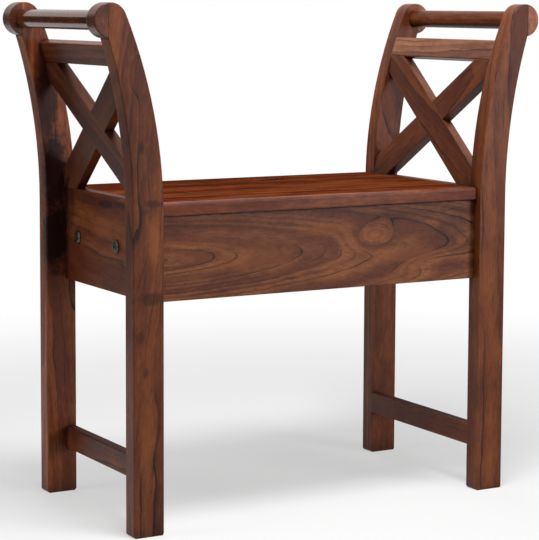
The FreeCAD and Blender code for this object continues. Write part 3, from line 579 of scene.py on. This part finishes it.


# Posts: upright logs, each with its own heart; the front left one shows arches and dark knots,
# the back left one has painted shade on its front face, in the recess beside the panel
postGlue = 0.3592  # from the middle of the bench to the glue line in each scroll
postWood = {
    "post_front_left": dict(
        along=(0.05, 0.10, 0), pith=(-0.27, -0.14, 0.1), ringWidth=0.013, tone=0.84,
        edgeRubAndSheen=0.55,
        knots=(((-0.311, -0.1665, 0.289), (0.006, 0.02, 0.009), 0.006, 0.5),
               ((-0.303, -0.1665, 0.238), (0.005, 0.02, 0.009), 0.005, 0.45),
               ((-0.297, -0.1665, 0.170), (0.016, 0.03, 0.035), 0.020, 0.0),
               ((-0.325, -0.1665, 0.665), (0.016, 0.03, 0.040), -0.022, 0.0),
               ((-0.308, -0.1665, 0.557), (0.004, 0.02, 0.010), 0.004, 0.5),
               ((-0.300, -0.1665, 0.430), (0.020, 0.03, 0.090), 0.016, 0.0),
               ((-0.289, -0.1665, 0.478), (0.016, 0.02, 0.006), 0.0, 0.55),
               ((-0.306, -0.1665, 0.467), (0.010, 0.02, 0.006), 0.0, 0.40),
               ((-0.293, -0.1665, 0.343), (0.022, 0.02, 0.010), 0.0, 0.55)),
        glows=(((-0.289, -0.1665, 0.425), (0.010, 0.02, 0.035), 0.55),
               ((-0.300, -0.1665, 0.150), (0.012, 0.02, 0.050), 0.35)),
    ),
    "post_front_right": dict(
        along=(-0.03, 0.04, 0), pith=(0.36, -0.30, 0.0), ringWidth=0.014, wander=0.03,
        knots=(((0.3156, -0.1665, 0.301), (0.004, 0.02, 0.006), 0.006, 0.55),),
    ),
    "post_back_left": dict(
        along=(0.02, -0.03, 0), pith=(-0.24, 0.20, 0.3), tone=1.5, edgeRubAndSheen=0.55,
        # painted shade on the front face, in the recess beside the panel
        knots=(((-0.308, 0.1395, 0.400), (0.026, 0.020, 0.060), 0.0, 0.97),
               ((-0.308, 0.1395, 0.500), (0.024, 0.020, 0.070), 0.0, 0.95),
               ((-0.318, 0.1395, 0.610), (0.018, 0.020, 0.060), 0.0, 0.75)),
        dark=(0.010, 0.002, 0.002),
    ),
    "post_back_right": dict(along=(-0.04, 0.05, 0), pith=(0.33, -0.02, 0.2), wander=0.03,
                            tone=1.12),
}
for name, board in postWood.items():
    dress(woodFinish(name.title().replace("_", "") + "Wood", glueLine=postGlue, **board), name)

# tone of each side's boards; on the left, all above the panel are darker as painted shade, and on
# the right the cheeks and flat rail are lighter as painted light
sideLightAndShadeTone = {
    "left": {"cheek": 0.72, "turned": 0.60, "rail": 0.66, "panel": 1.12, "back": 0.58,
             "front": 0.62},
    "right": {"cheek": 1.65, "turned": 0.85, "rail": 1.50, "panel": 1.0, "back": 0.90,
              "front": 0.95},
}
railShine = {  # the left rail is bright with lacquer, the right one dull, with painted shade along its underside
    "left": dict(roughness=0.10, specular=0.80, bump=0.03),
    "right": dict(roughness=0.24, specular=0.08, bump=0.08,
                  # painted shade along the rail's underside
                  knots=(((0.350, 0, 0.7200), (0.02, 0.9, 0.007), 0.0, 0.85),)),
}
# the right flat rail is paler and less red, as a painted sheen
railPaintedSheen = {"left": {}, "right": dict(heart=(0.120, 0.042, 0.022), pale=(0.240, 0.098, 0.050))}
slatEndShade = {  # painted shade at the ends of the left slats, beside their joints
    ("left", "back"): (((-0.285, 0.105, 0.505), (0.03, 0.030, 0.030), 0.0, 0.9),
                       ((-0.318, -0.11, 0.655), (0.03, 0.030, 0.030), 0.0, 0.6)),
    ("left", "front"): (((-0.315, 0.110, 0.650), (0.03, 0.035, 0.030), 0.0, 0.8),),
}
panelMarks = {  # dark spots near the left panel's top edge, a warm patch and one small chip
    "left": dict(
        knots=(((-0.2885, -0.0043, 0.4634), (0.020, 0.030, 0.007), 0.0, 0.9),
               ((-0.2885, -0.060, 0.466), (0.020, 0.040, 0.004), 0.0, 0.7),
               ((-0.2885, 0.132, 0.455), (0.020, 0.030, 0.050), 0.0, 0.65),
               ((-0.2885, 0.060, 0.465), (0.020, 0.040, 0.008), 0.0, 0.5)),
        glows=(((-0.2885, 0.020, 0.425), (0.020, 0.040, 0.016), 0.35),),
        chips=((-0.2885, 0.0313, 0.4226),),
    ),
    "right": {},
}
for side, way in (("left", -1), ("right", 1)):
    tone = sideLightAndShadeTone[side]
    for end, deep in (("front", -1), ("back", 1)):
        dress(woodFinish(f"cheekWood_{end}_{side}", (quarter, 0, 0.2 * deep),
                         (way * 0.345, 0.3, 0.72 + 0.01 * deep), tone=tone["cheek"],
                         roughness=0.24, specular=0.30, bump=0.12), f"scroll_cheek_{end}_{side}")
    dress(woodFinish(f"turnedWood_{side}", depthGrain, (way * 0.33, 0.4 * way, 0.72),
                     streaks=0.3, tone=tone["turned"], **railShine[side]),
          f"round_rail_{side}")
    dress(woodFinish(f"railWood_{side}", (quarter, 0, 0.03 * way), (way * 0.25, 0.4, 0.60),
                     tone=tone["rail"], **railPaintedSheen[side]), f"upper_rail_{side}")
    dress(woodFinish(f"panelWood_{side}", (quarter + 0.05, 0, 0.04), (way * 0.20, 0.1 * way, 0.34),
                     tone=tone["panel"], **panelMarks[side]), f"side_panel_{side}")
    dress(woodFinish(f"boxEndWood_{side}", depthGrain, (way * 0.15, 0.2, 0.40)), f"box_end_{side}")
    dress(woodFinish(f"stretcherWood_{side}", (quarter, 0, 0.02), (way * 0.22, 0.0, 0.05)),
          f"stretcher_{side}")
    for lie, slope in (("back", -slatSlope), ("front", slatSlope)):
        dress(woodFinish(f"slatWood_{lie}_{side}", (slope, 0.02 * way, 0),
                         (way * 0.22, 0.05, 0.55), tone=tone[lie],
                         knots=slatEndShade.get((side, lie), ())), f"slat_rising_{lie}_{side}")

# Front apron: a flat-sawn board with arches from the left, an eye and swirls at its right
apronWood = dict(
    along=(0, quarter, 0.152), pith=(-0.30, -0.1505, 0.395), ringWidth=0.0055, wander=0.020,
    streaks=0.45, lines=2.2, tone=1.15, heart=(0.108, 0.028, 0.012), pale=(0.240, 0.080, 0.029),
    knots=(((0.088, -0.1505, 0.412), (0.034, 0.05, 0.018), 0.040, 0.0),
           ((0.232, -0.1505, 0.416), (0.030, 0.05, 0.024), 0.0, 0.50),
           ((0.170, -0.1505, 0.440), (0.090, 0.05, 0.008), 0.0, 0.30),
           ((0.190, -0.1505, 0.365), (0.070, 0.05, 0.016), 0.012, 0.0),
           ((0.0, -0.1505, 0.4585), (0.900, 0.05, 0.0028), 0.0, 1.0)),  # painted shadow under the lid's overhang
    glows=(((0.088, -0.1505, 0.414), (0.024, 0.05, 0.012), 0.45),
           ((0.010, -0.1505, 0.425), (0.050, 0.05, 0.010), 0.40),
           ((-0.120, -0.1505, 0.385), (0.080, 0.05, 0.016), 0.25),
           ((0.150, -0.1505, 0.380), (0.060, 0.05, 0.012), 0.30)),
)
dress(woodFinish("apronWood", **apronWood), "front_apron")
dress(woodFinish("backApronWood", acrossGrain, (0.2, 0.10, 0.38)), "back_apron")
lidWood = dict(  # deep red-orange and nearly matt on top, lacquered along the rounded front
    along=(0, quarter, 0.0), pith=(0.0, 0.10, 0.40), streaks=0.8, tone=0.95,
    heart=(0.105, 0.017, 0.005), pale=(0.235, 0.058, 0.016),
    specular=0.0, roughness=0.42, coat=-0.154,
    knots=(((-0.05, 0.06, 0.478), (0.13, 0.020, 0.02), 0.0, 0.30),
           ((0.06, 0.02, 0.478), (0.06, 0.030, 0.02), 0.0, 0.25)),
    glows=(((0.02, -0.154, 0.470), (0.30, 0.006, 0.010), 0.15),
           ((0.10, -0.02, 0.478), (0.12, 0.030, 0.02), 0.25)),
)
dress(woodFinish("lidWood", **lidWood), "lid")
dress(woodFinish("innerWood", acrossGrain, (0.3, 0.0, 0.30), heart=(0.17, 0.075, 0.04),
                 pale=(0.27, 0.13, 0.07), specular=0.15), "box_bottom",
      "bottom_cleat_front", "bottom_cleat_back")


# Metal

metalSkin = {
    "patches": (260.0, 4.0, 0.65),  # scale, detail and roughness of the tarnish
    "fine": (1800.0, 2.0, 0.6),
    "mottled": 0.3,  # how much darker the tarnished patches are
    "duller": 0.15,  # and how much rougher
    "bump": 0.15,
    "bumpDepth": 0.0002,
}


def metalFinish(name, colour, roughness):
    finish = bpy.data.materials.new(name)
    tree = newTree(finish)
    where = addNode(tree, "ShaderNodeTexCoord").outputs["Object"]
    patch = noise(tree, where, *metalSkin["patches"])
    fine = noise(tree, where, *metalSkin["fine"])
    deep = tuple(part * (1 - metalSkin["mottled"]) for part in colour)
    skin = addNode(tree, "ShaderNodeBsdfPrincipled")
    plug(tree, skin, "Base Color", blend(tree, span(tree, patch, 0.35, 0.65),
                                         (*deep, 1), (*colour, 1)))
    skin.inputs["Metallic"].default_value = 1.0
    plug(tree, skin, "Roughness", span(tree, patch, 0.3, 0.7,
                                       (roughness, roughness + metalSkin["duller"])))
    bump = addNode(tree, "ShaderNodeBump")
    for socket, value in (("Strength", metalSkin["bump"]), ("Distance", metalSkin["bumpDepth"]),
                          ("Height", fine)):
        plug(tree, bump, socket, value)
    plug(tree, skin, "Normal", bump.outputs[0])
    addNode(tree, "ShaderNodeOutputMaterial", skin.outputs[0])
    return finish


# Seat bolts: one is raised from a ring, given its socket, and copied to its four places

seatBolt = {
    "sides": 48,
    "shank": (0.0030, 0.0395),  # radius and length
    # radius and height of the head's outline, from its underside at height zero
    "head": ((0.0093, 0.0), (0.00975, 0.0005), (0.00975, 0.0012), (0.0095, 0.0020),
             (0.0088, 0.0028), (0.0076, 0.0034), (0.0060, 0.0038), (0.0046, 0.00395)),
    "socketRadius": 0.0029,
    "socketDepth": 0.0024,
    "soften": 0.00025,
    "colour": (0.10, 0.11, 0.08),
    "roughness": 0.32,
}


def raiseRings(outline, sides, foot):
    # a closed turned shape, climbed ring by ring from a filled circle
    bpy.ops.object.select_all(action="DESELECT")
    radius = outline[0][0]
    bpy.ops.mesh.primitive_circle_add(vertices=sides, radius=radius, fill_type="NGON",
                                      location=(0, 0, foot))
    piece = bpy.context.active_object
    bpy.ops.object.transform_apply(location=True, rotation=True, scale=True)
    bpy.ops.object.mode_set(mode="EDIT")
    bpy.ops.mesh.select_all(action="SELECT")
    level = foot
    for wide, height in outline[1:]:
        bpy.ops.mesh.extrude_region_move(TRANSFORM_OT_translate={"value": (0, 0, height - level)})
        factor = wide / radius
        bpy.ops.transform.resize(value=(factor, factor, 1), center_override=(0, 0, height))
        radius, level = wide, height
    bpy.ops.mesh.select_all(action="SELECT")
    bpy.ops.mesh.normals_make_consistent(inside=False)
    bpy.ops.object.mode_set(mode="OBJECT")
    return piece


def cutAway(piece, tool, keep="DIFFERENCE"):
    cutter = piece.modifiers.new("cut", "BOOLEAN")
    cutter.operation, cutter.solver, cutter.object = keep, "EXACT", tool
    bpy.context.view_layer.objects.active = piece
    bpy.ops.object.modifier_apply(modifier="cut")
    bpy.data.objects.remove(tool)


def soften(piece, width):
    edge = piece.modifiers.new("soften", "BEVEL")
    edge.width, edge.segments, edge.limit_method = width, 2, "ANGLE"
    edge.angle_limit = math.radians(40)
    bpy.ops.object.select_all(action="DESELECT")
    piece.select_set(True)
    bpy.context.view_layer.objects.active = piece
    bpy.ops.object.modifier_apply(modifier="soften")
    bpy.ops.object.shade_smooth_by_angle(angle=math.radians(35))


def copyTo(piece, places):
    # each copy gets its own mesh, all joined as one piece whose object stays at the origin
    copies = []
    for place, turn in places:
        twin = piece.copy()
        twin.data = piece.data.copy()
        bpy.context.scene.collection.objects.link(twin)
        twin.data.transform(Matrix.Translation(place) @ turn)
        copies.append(twin)
    bpy.data.objects.remove(piece)
    bpy.ops.object.select_all(action="DESELECT")
    for twin in copies:
        twin.select_set(True)
    bpy.context.view_layer.objects.active = copies[0]
    bpy.ops.object.join()
    return bpy.context.active_object


def makeSeatBolts(shape):
    radius, length = shape["shank"]
    rise = [(radius, -length), (radius, 0.0), *shape["head"]]
    bolt = raiseRings(rise, shape["sides"], -length)
    top = shape["head"][-1][1]
    deep = shape["socketDepth"]
    bpy.ops.object.select_all(action="DESELECT")
    bpy.ops.mesh.primitive_cylinder_add(vertices=6, radius=shape["socketRadius"], depth=2 * deep,
                                        location=(0, 0, top))
    cutAway(bolt, bpy.context.active_object)
    soften(bolt, shape["soften"])
    low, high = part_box("seat_bolts")
    reach = high.x - top
    middle = (low.z + high.z) / 2
    widest = max(radius for radius, height in shape["head"])
    places = []
    for way in (-1, 1):
        turn = Matrix.Rotation(way * quarter, 4, "Y")
        for y in (low.y + widest, high.y - widest):
            places.append(((way * reach, y, middle), turn))
    bolts = copyTo(bolt, places)
    bolts.name = "seatBolts"
    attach(bolts, "bench_frame")
    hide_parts("seat_bolts")
    bolts.data.materials.clear()
    bolts.data.materials.append(metalFinish("darkBronze", shape["colour"], shape["roughness"]))


makeSeatBolts(seatBolt)
print("seat bolts turned")


# Hinge screws: countersunk and slotted, heads up on the apron and down under the lid

hingeScrew = {
    "sides": 28,
    "outline": ((0.0008, -0.0120), (0.0014, -0.0108), (0.0014, -0.0015), (0.0027, -0.0002),
                (0.0027, 0.0)),
    "slot": (0.0007, 0.0080, 0.0014),  # width, length and twice the depth
    "slotTurns": (0.3, 1.2, -0.5, 0.9),
    "places": (-0.182, -0.158, 0.158, 0.182),  # along the hinge line
    "soften": 0.00008,
    "bodies": {"hinge_screws_apron": ("hingeScrewsApron", "bench_frame", True),
               "hinge_screws_lid": ("hingeScrewsLid", "lid", False)},  # heads up or not
}


def makeHingeScrews(shape, finish):
    for node, (name, body, headsUp) in shape["bodies"].items():
        screw = raiseRings(shape["outline"], shape["sides"], shape["outline"][0][1])
        bpy.ops.object.select_all(action="DESELECT")
        bpy.ops.mesh.primitive_cube_add(size=1, location=(0, 0, 0), scale=shape["slot"])
        cutAway(screw, bpy.context.active_object)
        soften(screw, shape["soften"])
        low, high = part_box(node)
        face = high.z if headsUp else low.z
        places = []
        for x, angle in zip(shape["places"], shape["slotTurns"]):
            if headsUp:
                turn = Matrix.Rotation(angle, 4, "Z")
            else:
                turn = Matrix.Rotation(math.pi, 4, "X") @ Matrix.Rotation(-angle, 4, "Z")
            places.append(((x, (low.y + high.y) / 2, face), turn))
        screws = copyTo(screw, places)
        screws.name = name
        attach(screws, body)
        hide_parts(node)
        screws.data.materials.clear()
        screws.data.materials.append(finish)


# Nuts: six-sided bars trimmed by a turned shape, as a real nut's corners are

boltNut = {
    "radius": 0.0058,
    "thick": 0.0050,
    "bore": 0.0030,
    "toolLength": 0.0070,  # of the bar and the bore's tool, both longer than the nut is thick
    "boreSides": 40,
    "trim": ((0.0050, 0.0), (0.0059, 0.0006), (0.0059, 0.0044), (0.0050, 0.0050)),
    "trimSides": 48,
    "soften": 0.00012,
    "rows": (-0.041, 0.094),  # Y of the two bolts at each end
}


def makeNuts(shape, finish):
    nut = raiseRings(shape["trim"], shape["trimSides"], 0.0)
    for sides, radius, keep in ((6, shape["radius"], "INTERSECT"),
                                (shape["boreSides"], shape["bore"], "DIFFERENCE")):
        bpy.ops.object.select_all(action="DESELECT")
        bpy.ops.mesh.primitive_cylinder_add(vertices=sides, radius=radius,
                                            depth=shape["toolLength"],
                                            location=(0, 0, shape["thick"] / 2))
        cutAway(nut, bpy.context.active_object, keep)
    soften(nut, shape["soften"])
    low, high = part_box("bolt_nuts")
    places = []
    for way, face in ((-1, low.x), (1, high.x)):
        turn = Matrix.Rotation(-way * quarter, 4, "Y")
        for y in shape["rows"]:
            places.append(((face, y, (low.z + high.z) / 2), turn))
    nuts = copyTo(nut, places)
    nuts.name = "boltNuts"
    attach(nuts, "bench_frame")
    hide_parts("bolt_nuts")
    nuts.data.materials.clear()
    nuts.data.materials.append(finish)


brightZinc = metalFinish("brightZinc", (0.62, 0.63, 0.64), 0.30)
makeHingeScrews(hingeScrew, metalFinish("yellowSteel", (0.55, 0.42, 0.22), 0.28))
makeNuts(boltNut, brightZinc)
print("hinge screws and nuts made")

dress(metalFinish("agedBrass", (0.42, 0.30, 0.14), 0.35), "hinge_fixed_leaf_left",
      "hinge_fixed_leaf_right", "hinge_lid_leaf_left", "hinge_lid_leaf_right")
dress(metalFinish("pinSteel", (0.55, 0.55, 0.55), 0.25), "hinge_pin_left", "hinge_pin_right")
dress(brightZinc, "bolt_washers")
print("finishes made")
